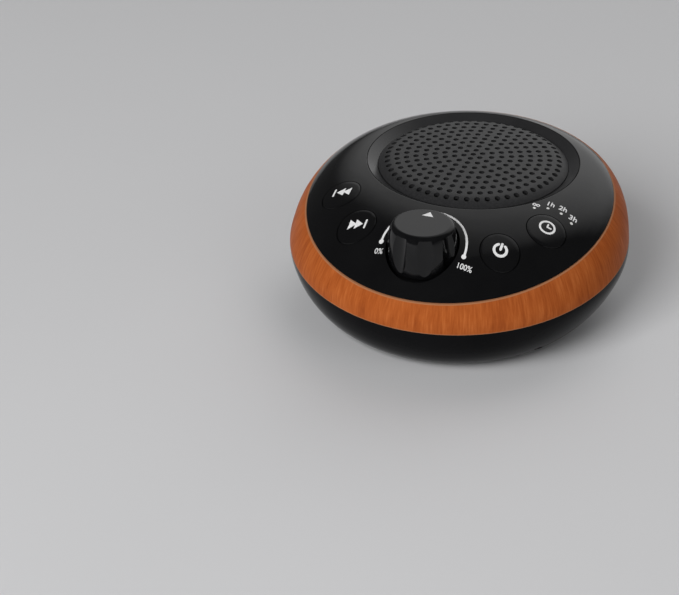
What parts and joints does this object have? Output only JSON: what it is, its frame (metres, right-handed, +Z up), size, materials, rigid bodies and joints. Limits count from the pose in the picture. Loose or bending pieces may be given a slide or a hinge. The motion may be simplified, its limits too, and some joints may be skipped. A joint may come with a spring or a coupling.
{
  "type": "white noise sound machine",
  "caption": "Tabletop white noise machine: a domed pebble with a speaker, a sunk volume knob, push buttons and a wood-grain band.",
  "frame": {"origin": "centre of the footprint's bounding box on the surface that it stands on", "axes": "+Z up; -Y towards the user, where the volume knob is; +X to the user's right; the power inlet faces +Y"},
  "size_m": [0.1194, 0.1222, 0.0493],
  "materials": {
    "gloss_black": "high gloss",
    "wood_grain": "satin wood grain",
    "bezel_grey": "gloss",
    "grille_grey": "fine matte",
    "knob_black": "satin top, gloss sides",
    "clear_guide": "milky clear",
    "rubber": "matte",
    "screw_steel": "zinc plated",
    "can_metal": "tinned",
    "board_green": "solder mask",
    "switch_black": "matte",
    "plunger_tan": "matte",
    "socket_white": "matte",
    "led_amber": "clear resin",
    "capacitor_sleeve": "sleeved can",
    "ribbon_grey": "satin",
    "lead_red": "satin",
    "basket_steel": "black",
    "ferrite": "matte",
    "paper": "pressed paper",
    "coil_copper": "enamelled wire",
    "spider_cloth": "varnished cloth"
  },
  "bodies": {
    "casing": {"amplifier_chip": "switch_black", "base_shell": "gloss_black", "board_ribbon": "ribbon_grey", "capacitors": "capacitor_sleeve", "case_screws": "screw_steel", "control_board": "board_green", "control_board_screws": "screw_steel", "control_ribbon_socket": "socket_white", "indicator_leds": "led_amber", "light_guide": "clear_guide", "main_board": "board_green", "main_board_screws": "screw_steel", "main_ribbon_socket": "socket_white", "next_switch": "switch_black", "pot_nut": "screw_steel", "pot_washer": "screw_steel", "potentiometer": "can_metal", "power_switch": "switch_black", "previous_switch": "switch_black", "rubber_feet": "rubber", "sound_chip": "switch_black", "speaker_basket": "basket_steel", "speaker_bezel": "bezel_grey", "speaker_gasket": "rubber", "speaker_grille": "grille_grey", "speaker_lead": "lead_red", "speaker_magnet": "ferrite", "speaker_screws": "screw_steel", "speaker_socket": "socket_white", "speaker_spider": "spider_cloth", "speaker_surround": "rubber", "speaker_terminal": "can_metal", "speaker_top_plate": "basket_steel", "speaker_yoke": "basket_steel", "timer_switch": "switch_black", "top_cover": "gloss_black", "usb_shell": "can_metal", "usb_tongue": "switch_black", "wood_band": "wood_grain"},
    "volume_knob": {"volume_knob": "knob_black", "pot_shaft": "screw_steel"},
    "previous_button": {"previous_button": "gloss_black", "previous_plunger": "plunger_tan"},
    "next_button": {"next_button": "gloss_black", "next_plunger": "plunger_tan"},
    "power_button": {"power_button": "gloss_black", "power_plunger": "plunger_tan"},
    "timer_button": {"timer_button": "gloss_black", "timer_plunger": "plunger_tan"},
    "speaker_cone": {"speaker_cone": "paper", "dust_cap": "paper", "voice_coil": "coil_copper"}
  },
  "joints": [
    {"name": "volume_turn", "type": "hinge", "parent": "casing", "child": "volume_knob", "pos_m": [0, -0.041, 0.04], "axis": [0, 0, -1], "range_deg": [-93, 93]},
    {"name": "previous_press", "type": "slide", "parent": "casing", "child": "previous_button", "axis": [0, 0, -1], "range_m": [0, 0.0005], "stiffness_N_per_m": 2000, "springref_m": -0.0002},
    {"name": "next_press", "type": "slide", "parent": "casing", "child": "next_button", "axis": [0, 0, -1], "range_m": [0, 0.0005], "stiffness_N_per_m": 2000, "springref_m": -0.0002},
    {"name": "power_press", "type": "slide", "parent": "casing", "child": "power_button", "axis": [0, 0, -1], "range_m": [0, 0.0005], "stiffness_N_per_m": 2000, "springref_m": -0.0002},
    {"name": "timer_press", "type": "slide", "parent": "casing", "child": "timer_button", "axis": [0, 0, -1], "range_m": [0, 0.0005], "stiffness_N_per_m": 2000, "springref_m": -0.0002},
    {"name": "cone_travel", "type": "slide", "parent": "casing", "child": "speaker_cone", "axis": [0, 0, 1], "range_m": [-0.001, 0.001], "stiffness_N_per_m": 2000, "deforming": ["speaker_surround", "speaker_spider"]}
  ]
}
